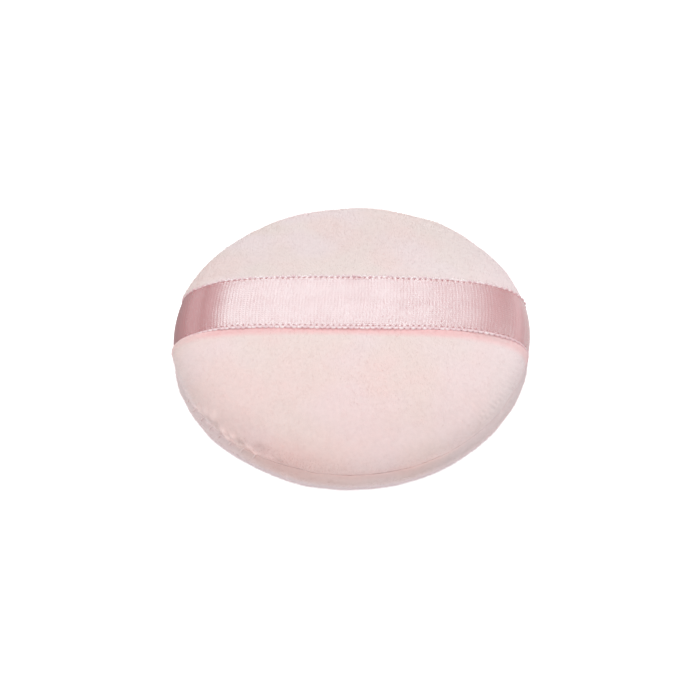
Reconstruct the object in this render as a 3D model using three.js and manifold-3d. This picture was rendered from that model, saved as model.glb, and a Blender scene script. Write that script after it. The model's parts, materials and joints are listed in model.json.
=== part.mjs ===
// A round powder puff. Two discs of velour are sewn together, turned right side out over a sponge and
// closed by hand, and a satin ribbon across the back is caught in the seam at both ends, so that
// fingers slip under it. Millimetres, +Z up. The puff lies on its powder face, ribbon upwards, and
// the origin is the middle of the face that it lies on. The ribbon runs along X.

import * as THREE from "three";
import { mergeVertices } from "three/addons/utils/BufferGeometryUtils.js";
import Module from "manifold-3d";

// Pad: its outside, measured from the plane of the seam
const padRadius = 40;
const crownRise = 12;
const baseDrop = 10.9;
const restPress = 0.5; // how deep the powder face is pressed flat by lying on it
const creaseDepth = 1; // how far the stitches draw the seam in
const creaseReach = 2.2; // how far above and below the seam that shows
const gatherDepth = 0.35;
const gatherReach = 5;

// Velour covers
const clothThickness = 1.3;
const allowance = 5; // seam allowance, turned inwards from the crease
const seamGap = 0.3; // between the two allowances

// Satin ribbon
const ribbonWidth = 16;
const ribbonThickness = 0.35;
const selvedgeWidth = 0.9;
const selvedgeThickness = 0.5;
const ribbonGap = 0.3; // to the cover that it lies on
const pocketGap = 0.3; // round the ribbon's ends, between the allowances

// Sewing threads
const threadRadius = 0.125;
const threadGap = 0.12; // between the two threads, and to the cloth that they lie on
const holeGap = 0.15; // round the threads in each needle hole
const stitchLength = 6; // about twice as long as real ones, to keep their number down
const stitchInset = 1; // from the crease to the line of machine stitches
const whipRadius = 1.1; // of the hand stitches that close the turning gap
const whipPitch = 3.5;
const whipInset = 0.6;
const whipGap = 0.2;

// Sponge
const spongeGap = 0.3;

// How full the two faces are: a higher number keeps the crown flatter, or the shoulder squarer
const topFace = { rise: crownRise, press: 0, crown: 3.4, shoulder: 3.6 };
const baseFace = { rise: baseDrop, press: restPress, crown: 5.6, shoulder: 2.2 };

// The hand-closed gap in the machine seam, as a compass reading from +X towards +Y
const closingMiddle = THREE.MathUtils.degToRad(225);
const closingArc = THREE.MathUtils.degToRad(42);

// Counts
const turns = 48; // facets round the pad, four to a gather
const gatherCount = turns / 4;
const faceSteps = 9;
const insideSteps = 6;
const holeSides = 6;
const threadSides = 5;
const whipSteps = 8;
const chordShare = 1e-4; // of a face's outline, the chord that gives its slope
const weld = 1e-4; // points nearer than this are one

// Sizes that follow from those above
const seamHeight = baseDrop - restPress;
const creaseRadius = padRadius - creaseDepth;
const rawEdgeRadius = creaseRadius - allowance;
const allowanceTop = seamGap / 2 + clothThickness;
const stitchRadius = creaseRadius - stitchInset;
const threadHeight = allowanceTop + threadGap + threadRadius;
const legOffset = (2 * threadRadius + threadGap) / Math.SQRT2;
const holeRadius = legOffset * Math.SQRT2 + threadRadius + holeGap;
const holeFlat = holeRadius * Math.cos(Math.PI / holeSides);
const pocketHalf = selvedgeThickness / 2 + pocketGap;
const slotHalf = threadHeight + threadRadius + spongeGap;
const firstStitch = closingMiddle + closingArc / 2;
const machineArc = 2 * Math.PI - closingArc;
const stitchCount = Math.round((machineArc * stitchRadius) / stitchLength);
const whipCount = Math.round((closingArc * stitchRadius) / whipPitch);

const wasm = await Module();
wasm.setup();

// How far the seam draws the cover in at a height from the seam plane: a parabola that ends at creaseReach.
function drawnIn(height) {
  return creaseDepth * Math.max(0, 1 - Math.abs(height) / creaseReach) ** 2;
}

// A point of a face's outside. Share 0 is at the seam and share 1 on the axis, with more points near the seam.
function facePoint(face, share) {
  const angle = (Math.PI / 2) * share ** 1.5;
  const height = face.rise * Math.sin(angle) ** (2 / face.shoulder);
  const radius = padRadius * Math.cos(angle) ** (2 / face.crown) - drawnIn(height);
  return new THREE.Vector2(share < 1 ? radius : 0, height);
}

// The outward normal there, from a short chord.
function faceNormal(face, share) {
  const before = facePoint(face, Math.max(0, share - chordShare));
  const after = facePoint(face, Math.min(1, share + chordShare));
  const along = after.sub(before);
  return new THREE.Vector2(along.y, -along.x).normalize();
}

// A point that lies an inset under a face's outside, no lower than the cloth that is pressed flat.
function underFace(face, share, inset) {
  const point = facePoint(face, share).addScaledVector(faceNormal(face, share), -inset);
  point.x = share < 1 ? point.x : 0;
  point.y = Math.min(point.y, face.rise - face.press - inset);
  return point;
}

// The points of one face from the seam to the axis, an inset under its outside and above a lowest height.
function faceLine(face, steps, inset, lowest) {
  const shares = Array.from({ length: steps + 1 }, (_, i) => i / steps);
  return shares.map((share) => underFace(face, share, inset)).filter((point) => point.y > lowest);
}

// A velour cover: outside, allowance turned inwards under it, and inside, as one closed outline.
function coverOutline(face) {
  const inside = faceLine(face, insideSteps, clothThickness, allowanceTop);
  return [
    ...inside.toReversed(),
    new THREE.Vector2(inside[0].x, allowanceTop),
    new THREE.Vector2(rawEdgeRadius, allowanceTop),
    new THREE.Vector2(rawEdgeRadius, seamGap / 2),
    new THREE.Vector2(creaseRadius, seamGap / 2),
    ...faceLine(face, faceSteps, 0, seamGap / 2),
  ];
}

// The sponge fills both covers and is pressed in all round where the allowances and their stitches lie.
function spongeOutline() {
  const inset = clothThickness + spongeGap;
  const top = faceLine(topFace, insideSteps, inset, slotHalf);
  const base = faceLine(baseFace, insideSteps, inset, slotHalf).map((p) => p.setY(-p.y));
  return [
    ...base.toReversed(),
    new THREE.Vector2(base[0].x, -slotHalf),
    new THREE.Vector2(rawEdgeRadius - spongeGap, -slotHalf),
    new THREE.Vector2(rawEdgeRadius - spongeGap, slotHalf),
    new THREE.Vector2(top[0].x, slotHalf),
    ...top,
  ];
}

// Draws a turned shape in by small gathers that fade out away from the seam plane.
function gather(geometry) {
  const position = geometry.attributes.position;
  for (let i = 0; i < position.count; i += 1) {
    const [x, y, z] = [position.getX(i), position.getY(i), position.getZ(i)];
    const wave = (1 - Math.cos(gatherCount * Math.atan2(y, x))) / 2;
    const fade = Math.max(0, 1 - Math.abs(z) / gatherReach) ** 2;
    const share = 1 - (gatherDepth * wave * fade) / padRadius;
    position.setXY(i, x * share, y * share);
  }
  return geometry;
}

// Turns an outline of radius and height round the Z axis.
function turned(outline) {
  return gather(new THREE.LatheGeometry(outline, turns).rotateX(Math.PI / 2));
}

// The same shape upside down, with its faces still pointing out.
function turnedOver(outline) {
  return turned(outline.map((p) => new THREE.Vector2(p.x, -p.y)).reverse());
}

// A closed skin over rings of points that follow one flat section, which also caps both ends.
function skin(rings, section) {
  const sides = rings[0].length;
  const last = (rings.length - 1) * sides;
  const index = [];
  for (let ring = 0; ring < rings.length - 1; ring += 1) {
    for (let side = 0; side < sides; side += 1) {
      const a = ring * sides + side;
      const b = ring * sides + ((side + 1) % sides);
      index.push(a, b, a + sides, b, b + sides, a + sides);
    }
  }
  for (const [a, b, c] of THREE.ShapeUtils.triangulateShape(section, [])) {
    index.push(a, c, b, last + a, last + b, last + c);
  }
  return new THREE.BufferGeometry().setFromPoints(rings.flat()).setIndex(index);
}

// A round tube through every point of a path, its rings turned as little as possible from one to the next.
function tube(path, radius) {
  const up = new THREE.Vector3(0, 0, 1);
  const section = Array.from({ length: threadSides }, (_, k) => {
    const angle = (2 * Math.PI * k) / threadSides;
    return new THREE.Vector2(radius * Math.cos(angle), radius * Math.sin(angle));
  });
  let side = new THREE.Vector3();
  const rings = path.map((point, i) => {
    const before = path[Math.max(0, i - 1)];
    const after = path[Math.min(path.length - 1, i + 1)];
    const along = after.clone().sub(before).normalize();
    side = i ? side.addScaledVector(along, -side.dot(along)).normalize() : along.clone().cross(up).normalize();
    const over = along.clone().cross(side);
    return section.map(({ x, y }) => point.clone().addScaledVector(side, x).addScaledVector(over, y));
  });
  return skin(rings, section);
}

function solidOf(geometry) {
  const merged = geometry.clone();
  merged.deleteAttribute("normal");
  merged.deleteAttribute("uv");
  const { index, attributes } = mergeVertices(merged, weld);
  return new wasm.Manifold(
    new wasm.Mesh({
      numProp: 3,
      vertProperties: new Float32Array(attributes.position.array),
      triVerts: new Uint32Array(index.array),
    }),
  );
}

function geometryOf(solid) {
  const { vertProperties, triVerts } = solid.getMesh();
  const geometry = new THREE.BufferGeometry();
  geometry.setAttribute("position", new THREE.BufferAttribute(vertProperties, 3));
  geometry.setIndex(new THREE.BufferAttribute(triVerts, 1));
  geometry.computeVertexNormals();
  return geometry;
}

// Ribbon

// The ribbon's middle line from the crown out over the shoulder, round the lip and into the seam.
// Each station has a point and the normal there, in radius and height from the seam plane.
function ribbonStations() {
  const lift = ribbonGap + selvedgeThickness / 2;
  const over = Array.from({ length: faceSteps }, (_, i) => 1 - i / faceSteps).map((share) => ({
    point: facePoint(topFace, share).addScaledVector(faceNormal(topFace, share), lift),
    normal: faceNormal(topFace, share),
  }));
  const lipRadius = padRadius - drawnIn(pocketHalf);
  const bend = [30, 60, 90].map((degrees) => {
    const angle = -THREE.MathUtils.degToRad(degrees);
    const normal = new THREE.Vector2(Math.cos(angle), Math.sin(angle));
    return { point: new THREE.Vector2(lipRadius, pocketHalf).addScaledVector(normal, pocketHalf), normal };
  });
  return [...over.filter((s) => s.point.y > pocketHalf), ...bend];
}

// The ribbon's section, across it and through it, with a thicker selvedge at each edge.
function ribbonSection() {
  const edge = ribbonWidth / 2;
  const across = [-edge, selvedgeWidth / 2 - edge, selvedgeWidth - edge, 0];
  const through = [ribbonThickness, selvedgeThickness, ribbonThickness, ribbonThickness];
  const under = across.map((y, i) => new THREE.Vector2(y, -through[i] / 2));
  under.push(...under.slice(0, -1).toReversed().map((p) => new THREE.Vector2(-p.x, p.y)));
  return [...under, ...under.toReversed().map((p) => new THREE.Vector2(p.x, -p.y))];
}

// The ribbon from its left end to its right. It bends round the pad's rim, so across its width each
// station keeps to a circle as wide as the pad's. Its ends are cut straight.
function ribbonGeometry() {
  const section = ribbonSection();
  const half = (side) =>
    ribbonStations().map(({ point, normal }) =>
      section.map(({ x: across, y: through }) => {
        const radius = point.x + normal.x * through;
        const bend = Math.sqrt(1 - (across / padRadius) ** 2);
        return new THREE.Vector3(side * radius * bend, across, point.y + normal.y * through);
      }),
    );
  const end = (side) => section.map(({ x, y }) => new THREE.Vector3(side * rawEdgeRadius, x, -y));
  return skin([end(-1), ...half(-1).toReversed(), ...half(1).slice(1), end(1)], section);
}

// The space between the allowances that a ribbon end needs, on one side: from the rim to their raw edges.
function pocketSolid(side) {
  const width = ribbonWidth + 2 * pocketGap;
  const length = padRadius - Math.sqrt(rawEdgeRadius ** 2 - (width / 2) ** 2) + pocketGap;
  const box = new THREE.BoxGeometry(length, width, 2 * pocketHalf);
  return solidOf(box.translate(side * (padRadius - length / 2), 0, 0));
}

// Seam

// A point along the line of machine stitches.
function onSeam(along, outward, height) {
  const angle = firstStitch + along / stitchRadius;
  const radius = stitchRadius + outward;
  return new THREE.Vector3(radius * Math.cos(angle), radius * Math.sin(angle), height);
}

// One thread of the lockstitch. It runs along one side of the allowances, and in every needle hole it dips
// past the seam plane and hooks round the other thread. The other thread is the same one turned over.
function lockstitchPath(face) {
  const pitch = (machineArc * stitchRadius) / stitchCount;
  const run = face * threadHeight;
  const path = [onSeam(0, 0, run)];
  for (let stitch = 0; stitch < stitchCount; stitch += 1) {
    const middle = pitch * (stitch + 1 / 2);
    const leg = (end, height) => onSeam(middle + end * legOffset, -end * face * legOffset, height);
    path.push(
      onSeam(middle - holeFlat, 0, run),
      leg(-1, run - face * (holeFlat - legOffset)),
      leg(-1, 0),
      onSeam(middle, 0, -face * legOffset),
      leg(1, 0),
      leg(1, run - face * (holeFlat - legOffset)),
      onSeam(middle + holeFlat, 0, run),
    );
  }
  path.push(onSeam(machineArc * stitchRadius, 0, run));
  return path;
}

// The needle holes that one stitch each needs, through both allowances and whatever lies between them.
function needleHoles() {
  const pitch = (machineArc * stitchRadius) / stitchCount;
  const depth = 2 * (allowanceTop + threadGap);
  const holes = Array.from({ length: stitchCount }, (_, stitch) => {
    const hole = new THREE.CylinderGeometry(holeRadius, holeRadius, depth, holeSides).rotateX(Math.PI / 2);
    const middle = onSeam(pitch * (stitch + 1 / 2), 0, 0);
    return solidOf(hole.translate(middle.x, middle.y, middle.z));
  });
  return wasm.Manifold.union(holes);
}

// The hand stitches over the crease, as a coil that bites through both lips and shows in the crease.
function whipPath() {
  const centre = creaseRadius - whipInset;
  const steps = whipCount * whipSteps;
  return Array.from({ length: steps + 1 }, (_, i) => {
    const turn = Math.PI + (2 * Math.PI * i) / whipSteps;
    const angle = closingMiddle + closingArc * (i / steps - 1 / 2) * (1 - 1 / (whipCount + 1));
    const radius = centre + whipRadius * Math.cos(turn);
    return new THREE.Vector3(radius * Math.cos(angle), radius * Math.sin(angle), whipRadius * Math.sin(turn));
  });
}

// Materials and assembly

function finish(color, roughness) {
  return new THREE.MeshStandardMaterial({ color, roughness, metalness: 0 });
}

const velour = finish(0xeedad6, 0.95);
const satin = finish(0xe8cccf, 0.4);
const cotton = finish(0xf1dedb, 0.8);
const foam = finish(0xf4f0e6, 0.9);

const puff = new THREE.Group();
const pad = new THREE.Group();
pad.position.z = seamHeight;
puff.add(pad);

function place(name, solid, material) {
  const mesh = new THREE.Mesh(geometryOf(solid), material);
  mesh.name = name;
  pad.add(mesh);
}

const holes = needleHoles();
const whipBite = solidOf(tube(whipPath(), threadRadius + whipGap));
const seamCuts = wasm.Manifold.union([holes, pocketSolid(1), pocketSolid(-1), whipBite]);

place("top_cover", solidOf(turned(coverOutline(topFace))).subtract(seamCuts), velour);
place("bottom_cover", solidOf(turnedOver(coverOutline(baseFace))).subtract(seamCuts), velour);
place("sponge_core", solidOf(turned(spongeOutline())), foam);
place("ribbon_band", solidOf(ribbonGeometry()).subtract(holes), satin);
place("seam_needle_thread", solidOf(tube(lockstitchPath(1), threadRadius)), cotton);
place("seam_bobbin_thread", solidOf(tube(lockstitchPath(-1), threadRadius)), cotton);
place("closing_thread", solidOf(tube(whipPath(), threadRadius)), cotton);

export default puff;
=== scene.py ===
"""A round velour powder puff with a satin finger ribbon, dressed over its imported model."""

import json

import bpy
import numpy as np
from mathutils import Matrix, Quaternion, Vector

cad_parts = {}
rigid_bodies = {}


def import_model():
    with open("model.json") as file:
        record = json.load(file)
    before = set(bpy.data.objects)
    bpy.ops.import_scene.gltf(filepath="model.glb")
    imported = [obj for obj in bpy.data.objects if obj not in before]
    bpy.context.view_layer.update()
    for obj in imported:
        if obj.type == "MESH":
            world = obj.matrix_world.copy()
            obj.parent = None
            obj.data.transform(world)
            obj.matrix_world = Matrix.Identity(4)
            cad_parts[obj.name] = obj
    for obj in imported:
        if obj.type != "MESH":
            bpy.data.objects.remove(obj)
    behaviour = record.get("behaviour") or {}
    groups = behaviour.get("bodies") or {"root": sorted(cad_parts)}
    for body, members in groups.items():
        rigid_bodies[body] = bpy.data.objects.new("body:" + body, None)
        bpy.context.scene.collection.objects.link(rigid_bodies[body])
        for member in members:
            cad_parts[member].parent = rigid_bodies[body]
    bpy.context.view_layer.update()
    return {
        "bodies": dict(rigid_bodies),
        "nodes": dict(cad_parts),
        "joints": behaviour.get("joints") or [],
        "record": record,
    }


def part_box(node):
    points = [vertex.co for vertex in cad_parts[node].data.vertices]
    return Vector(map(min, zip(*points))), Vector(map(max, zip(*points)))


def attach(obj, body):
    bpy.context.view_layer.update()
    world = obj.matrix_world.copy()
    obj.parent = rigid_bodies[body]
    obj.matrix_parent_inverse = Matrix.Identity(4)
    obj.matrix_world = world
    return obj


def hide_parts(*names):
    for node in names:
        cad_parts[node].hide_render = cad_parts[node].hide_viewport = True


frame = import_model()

# Sizes, in metres

PAD_RADIUS = 0.0400
CREASE_DEPTH = 0.0010
CLOTH_THICKNESS = 0.0013
ALLOWANCE = 0.0050
SEAM_GAP = 0.0003
SPONGE_GAP = 0.0003
PILE_LENGTH = 0.00042
PILE_WIDTH = 0.00006

RIBBON_WIDTH = 0.0160
RIBBON_THICKNESS = 0.00024
RIBBON_LIFT = 0.00027
RIBBON_STRAY = 0.0004
RIBBON_TAB = 0.0050
RIBBON_SPREAD = 0.035
LOOP_PITCH = 0.00125
LOOP_YARN = 0.00023
LOOP_WAVES = 251.3  # the scale at which a wave texture has one band to a loop

# How far the loops run inside the ribbon's edge and under its middle line, and how far they bow out and up.
# The rear ones run farther in and higher, and the front ones less
LOOP_INSET = 0.00014
LOOP_SINK = 0.00003
LOOP_BOW_OUT = 0.00010
LOOP_BOW_UP = 0.00009
REAR_LOOP_INSET = 0.00004
REAR_LOOP_RISE = 0.00006

SEAM_HEIGHT = (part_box("top_cover")[0][2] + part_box("bottom_cover")[1][2]) / 2

# Each face of the pad: its side of the seam, 1 up and -1 down, how high it stands from it, how deep it is
# pressed flat, the two powers that shape its outline, and how far from the seam the crease begins. Its
# gathers have a lowest and a highest number round the seam, a seed, and a depth all round and one more at the
# closed part of the seam. The share of the simulated puckers that it takes on is given in the same two places
TOP_FACE = {
    "side": 1, "rise": 0.0120, "press": 0.0, "crown": 3.4, "shoulder": 3.6, "crease": 0.0052,
    "gathers": ((18, 44, 5, 0.00003, 0.00014), (60, 110, 3, 0.00001, 0.00004)), "settled": (0.28, 0.4),
}
BASE_FACE = {
    "side": -1, "rise": 0.0109, "press": 0.0005, "crown": 5.6, "shoulder": 2.2, "crease": 0.0022,
    "gathers": ((18, 44, 5, 0.00003, 0.00002), (60, 110, 3, 0.00001, 0.00001)), "settled": (0.15, 0.0),
}

# How far from the seam the gathers, the simulated puckers and the pulled-in rim fade out
GATHER_REACH = 0.0034
SETTLED_REACH = 0.0055
PULLED_REACH = 0.0070

# Slow waves of the crown: height, wavelength and seed
SWELLS = ((0.00010, 0.019, 7), (0.00003, 0.006, 8))

# How far the pile stands out where it is raised by 1, and on which height over the seam it is brushed up
NAP_HEIGHT = 0.00011
BRUSHED_LEVEL = 0.0050
BRUSHED_REACH = 0.0020

# What share of the seam's gap the lips leave open, how uneven that is, and how far beside the ribbon they
# leave all of it
LIP_SHARE = 0.20
LIP_SPREAD = 0.14
LIP_MARGIN = 0.0008

# Over which height the pile grows to its length, and its least share of it, all round and at the closed part
SHORT_PILE_REACH = 0.0014
SHORT_PILE = 0.6
SHORT_PILE_CLOSING = 0.4
PRESSED_PILE = 0.4  # share of its length that the pile has under the ribbon

# Where the seam was closed by hand and where the pile is brushed up, as compass readings from +X
CLOSING_MIDDLE = np.radians(225)
CLOSING_ARC = np.radians(42)
BRUSHED_MIDDLE = np.radians(323)
BRUSHED_ARC = np.radians(50)

# Lumps and dents of the cloth over the closed part of the seam: compass reading in degrees, height over the
# seam, radius, and how strong each is, below zero for a dent
CRUMPLES = (
    (214.5, 0.0012, 0.0008, 2.0), (218.0, 0.0031, 0.0009, 2.2), (221.8, 0.0047, 0.0009, 2.2),
    (225.5, 0.0056, 0.0010, 1.6), (218.5, 0.0012, 0.0013, -2.4), (223.5, 0.0026, 0.0015, -2.6),
    (227.0, 0.0036, 0.0010, -1.8), (230.3, 0.0037, 0.0008, 3.0), (234.0, 0.0036, 0.0008, 2.8),
    (231.3, 0.0015, 0.0008, 2.6), (227.5, 0.0010, 0.0009, -2.2), (236.8, 0.0026, 0.0011, -2.4),
    (240.0, 0.0024, 0.0009, 3.2), (241.6, 0.0009, 0.0007, 3.0), (244.5, 0.0042, 0.0015, -1.8),
    (247.5, 0.0018, 0.0009, 1.6), (250.5, 0.0012, 0.0010, -1.6),
)

# How deep the ribbon is pulled into the pad's shoulder at either end, and from which radius
PRESS_LEFT = 0.0006
PRESS_RIGHT = 0.0002
PRESS_RADIUS = 0.0325
PRESS_SPREAD = 0.0013
UNDER_SPREAD = 0.00016  # how softly the press ends at the ribbon's edge

# How high the cloth swells up beside the ribbon, how far from its edge, and over what width
BESIDE_RISE = 0.00022
BESIDE_MIDDLE = 0.0004
BESIDE_SPREAD = 0.0005

# Painted stripes of the ribbon where it bends down to the seams, darker ones of painted shade and paler ones
# # of painted reflection: place along it from its middle, half the stripe's width, and the share of the
# deeper
# # colour, below zero for the paler one
PAINTED_BEND_STRIPES = (
    (-0.0376, 0.0020, 0.85), (-0.0328, 0.0016, 0.55), (0.0347, 0.0020, 0.45), (0.0378, 0.0016, -0.55),
    (0.0412, 0.0020, 0.8),
)

# Where the sewn rim is pulled in: compass reading and arc in degrees, and how deep
PULLED = ((240, 70, 0.0006), (30, 44, 0.0005), (326, 56, 0.0004))

# How far up its outline a cover is simulated, as a share
SETTLED_SHARE = 0.94

# Where the powder face turns flat, as a share of its outline. On the flat the pile is pressed into the cloth
REST_SHARE = 0.86

# Where the pile of a face is split into two pieces, as a share of its outline
PILE_SPLIT = 0.55

# Shared shapes


def random_waves(points, wavelength, seed, count=24):
    """A smooth random field with a spread of about 1: many sine waves of one length, each along its own
    direction with its own phase, added up."""
    rng = np.random.default_rng(seed)
    ways = rng.normal(size=(count, points.shape[-1]))
    ways *= 2 * np.pi / wavelength / np.linalg.norm(ways, axis=1, keepdims=True)
    phases = rng.uniform(0, 2 * np.pi, count)
    return np.sin(points @ ways.T + phases).sum(axis=-1) * np.sqrt(2 / count)


def ring_noise(angle, lowest, highest, seed):
    """A random field round a circle: cosines that fit the circle a whole number of times, from lowest
    to highest, each with its own phase, added up to a spread of about 1."""
    rng = np.random.default_rng(seed)
    times = np.arange(lowest, highest + 1)
    phases = rng.uniform(0, 2 * np.pi, times.size)
    return np.cos(angle[..., None] * times + phases).sum(axis=-1) * np.sqrt(2 / times.size)


def near_angle(angle, middle, arc):
    """A bell of height 1 round a compass reading, down to about a tenth at half the arc from it."""
    apart = (angle - middle + np.pi) % (2 * np.pi) - np.pi
    return np.exp(-((3 * apart / arc) ** 2))


def normalised(vectors):
    return vectors / np.maximum(np.linalg.norm(vectors, axis=-1, keepdims=True), 1e-12)


def face_outline(face, share):
    """A face's outline: radius without the crease, height over the seam, and radius with the crease. Share 0
    is at the seam and share 1 on the axis. It is a superellipse, drawn in near the seam by a parabola."""
    turn = np.pi / 2 * share**1.5
    height = face["rise"] * np.sin(turn) ** (2 / face["shoulder"])
    drawn_in = CREASE_DEPTH * np.clip(1 - height / face["crease"], 0, None) ** 2
    radius = PAD_RADIUS * np.cos(np.minimum(turn, np.pi / 2)).clip(0) ** (2 / face["crown"])
    return radius, height, radius - drawn_in * np.clip(radius / PAD_RADIUS, 0, 1)


def on_rings(grid, angle, share):
    """A value between the points of a grid of rings: Catmull-Rom curves along the rings, which close, and
    from ring to ring. The rings are evenly spaced in share, from 0 to the grid's last share."""
    rows, columns = grid.shape
    row = np.clip(share / SETTLED_SHARE, 0, 1) * (rows - 1)
    column = (angle / (2 * np.pi) % 1) * columns
    first_row, first_column = np.floor(row).astype(int), np.floor(column).astype(int)

    def curve(t):
        return np.stack([
            ((2 - t) * t - 1) * t / 2, (t * t * (3 * t - 5) + 2) / 2,
            ((4 - 3 * t) * t + 1) * t / 2, (t - 1) * t * t / 2,
        ])

    by_row, by_column = curve(row - first_row), curve(column - first_column)
    value = np.zeros(np.broadcast(row, column).shape)
    for i in range(4):
        ring = np.clip(first_row + i - 1, 0, rows - 1)
        for j in range(4):
            value += by_row[i] * by_column[j] * grid[ring, (first_column + j - 1) % columns]
    return value


def outline_normal(face, share):
    """Unit normal of that outline, as radius and height, from its slope between two near shares."""
    step = 1e-4
    low, high = np.clip(share - step, 0, 1), np.clip(share + step, 0, 1)
    _, height_low, radius_low = face_outline(face, low)
    _, height_high, radius_high = face_outline(face, high)
    return normalised(np.stack([height_high - height_low, radius_low - radius_high], axis=-1))


def shoulder_press(side, radius):
    """How deep the ribbon presses at a radius, at its end on the -X or +X side: a logistic step."""
    depth = np.where(side < 0, PRESS_LEFT, PRESS_RIGHT)
    return depth / (1 + np.exp((PRESS_RADIUS - radius) / PRESS_SPREAD))


def raised_nap(face, angle, share):
    """How far the pile is raised, from about -1 to 1. On the finger side it stands in short ridges where it
    was brushed, cosines round the pad times a slow wave, and where the cloth is crumpled it follows the
    lumps and dents, each a bell of its own radius."""
    if face["side"] < 0:
        return np.zeros(np.broadcast(angle, share).shape)
    _, height, radius = face_outline(face, share)
    place = np.stack(np.broadcast_arrays(radius * np.cos(angle), radius * np.sin(angle), height), axis=-1)
    brushed = near_angle(angle, BRUSHED_MIDDLE, BRUSHED_ARC)
    brushed = brushed * np.exp(-(((height - BRUSHED_LEVEL) / BRUSHED_REACH) ** 2))
    slow = 0.4 + 0.8 * random_waves(place, 0.004, seed=9)
    ridges = ring_noise(angle + 14 * height, 110, 210, seed=4) * slow
    raised = 0.8 * np.tanh(ridges) * (0.1 + 0.9 * brushed)
    for middle, level, reach, strength in CRUMPLES:
        apart = PAD_RADIUS * ((angle - np.radians(middle) + np.pi) % (2 * np.pi) - np.pi)
        raised = raised + strength * np.exp(-(apart**2 + (height - level) ** 2) / reach**2)
    return raised


def pad_points(face, angle, share, inset=0.0):
    """Points of a face of the pad at compass readings and shares of its outline, an inset under it.
    The gathers of the seam, deepest where it was closed by hand, and the simulated puckers move the outline
    in and out, and the sewn rim is pulled in at some places. All three fade with height. The raised nap
    stands out, slow waves make the crown uneven, the ribbon presses the shoulder in under itself and the
    cloth swells up beside it, and the powder face is flat where it rests."""
    angle, share = np.broadcast_arrays(angle, share)
    _, height, radius = face_outline(face, share)
    normal = outline_normal(face, share)
    closing = near_angle(angle, CLOSING_MIDDLE, CLOSING_ARC)
    fade = np.exp(-((height / GATHER_REACH) ** 2))
    gather = sum(
        (all_round + at_closing * closing) * ring_noise(angle, lowest, highest, seed) * fade
        for lowest, highest, seed, all_round, at_closing in face["gathers"]
    )
    all_round, at_closing = face["settled"]
    settled = (all_round + at_closing * closing) * on_rings(PUCKERS[face["side"]], angle, share)
    gather = gather + settled * np.exp(-((height / SETTLED_REACH) ** 2))
    gather = gather + NAP_HEIGHT * raised_nap(face, angle, share)
    place = np.stack([radius * np.cos(angle), radius * np.sin(angle), face["side"] * height], axis=-1)
    swell = sum(rise * random_waves(place, wavelength, seed) for rise, wavelength, seed in SWELLS)
    pulled = sum(
        depth * near_angle(angle, np.radians(middle), np.radians(arc)) for middle, arc, depth in PULLED
    )
    pulled = pulled * np.exp(-((height / PULLED_REACH) ** 2))
    out = gather + swell - pulled - inset
    if face["side"] > 0:
        off_edge = np.abs(place[..., 1] - stray(place[..., 0])) - ribbon_half_width(np.abs(place[..., 0]))
        under = 1 / (1 + np.exp(off_edge / UNDER_SPREAD))
        out = out - (gather + swell) * under - shoulder_press(place[..., 0], radius) * under
        out = out + BESIDE_RISE * np.exp(-(((off_edge - BESIDE_MIDDLE) / BESIDE_SPREAD) ** 2))
    radius = np.clip(radius + normal[..., 0] * out, 0, None)
    height = height + normal[..., 1] * out
    height = np.minimum(height, face["rise"] - face["press"] - inset)
    return np.stack(
        [radius * np.cos(angle), radius * np.sin(angle), SEAM_HEIGHT + face["side"] * height], axis=-1
    )


def settled_puckers(face, seed):
    """How a cover puckers along its seam, as a grid of distances along the outline's normal. The cover's
    outside is simulated as cloth ten times as large, blown up with its seam held and with 4% of spare
    cloth. Each ring then loses its mean and each distance d is capped as c tanh(d / c), so that only
    the puckers stay and the pad keeps its outline."""
    rows, columns, frames, size, cap = 30, 216, 12, 10, 0.00045
    share = np.linspace(0, SETTLED_SHARE, rows)
    angle = np.linspace(0, 2 * np.pi, columns, endpoint=False)
    _, height, radius = face_outline(face, share)
    flat = np.stack([radius[:, None] * np.cos(angle), radius[:, None] * np.sin(angle)], axis=-1)
    outline = np.concatenate([flat, np.broadcast_to(height[:, None, None], (rows, columns, 1))], axis=-1)
    free = np.clip(share / 0.1, 0, 1)[:, None, None]
    start = outline * (1 - 0.015 * free)
    start += np.random.default_rng(seed).normal(0, 0.00002, start.shape) * free
    points = np.concatenate([start.reshape(-1, 3), [[0, 0, 0.985 * face["rise"]]]]) * size
    quads, fans = skin_faces(rows, columns)
    fans = fans[columns:]
    fans = np.where(fans > rows * columns, rows * columns, fans)
    mesh = bpy.data.meshes.new("settling_cover")
    mesh.from_pydata(points.tolist(), [], quads.tolist() + fans.tolist())
    cover = bpy.data.objects.new("settling_cover", mesh)
    bpy.context.scene.collection.objects.link(cover)
    cover.vertex_groups.new(name="seam").add(list(range(columns)), 1.0, "REPLACE")
    cloth = cover.modifiers.new("cloth", "CLOTH")
    cloth.point_cache.frame_start, cloth.point_cache.frame_end = 1, frames
    stuff = cloth.settings
    stuff.quality = 6
    stuff.mass = 0.3
    stuff.tension_stiffness = stuff.compression_stiffness = 15
    stuff.shear_stiffness = 5
    stuff.bending_stiffness = 0.05
    stuff.tension_damping = stuff.compression_damping = 10
    stuff.use_pressure = True
    stuff.uniform_pressure_force = 4
    stuff.shrink_min = -0.04
    stuff.vertex_group_mass = "seam"
    stuff.effector_weights.gravity = 0
    for frame in range(1, frames + 1):
        bpy.context.scene.frame_set(frame)
    shaped = cover.evaluated_get(bpy.context.evaluated_depsgraph_get()).to_mesh()
    settled = np.empty(3 * len(points), dtype=np.float32)
    shaped.vertices.foreach_get("co", settled)
    settled = settled.reshape(-1, 3)[:-1].reshape(rows, columns, 3) / size
    bpy.data.objects.remove(cover)
    bpy.context.scene.frame_set(1)
    normal = outline_normal(face, share)
    radial = np.hypot(settled[..., 0], settled[..., 1]) * normal[:, :1] + settled[..., 2] * normal[:, 1:]
    puckers = radial - radial.mean(axis=1, keepdims=True)
    return cap * np.tanh(puckers / cap)


# Meshes


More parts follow.
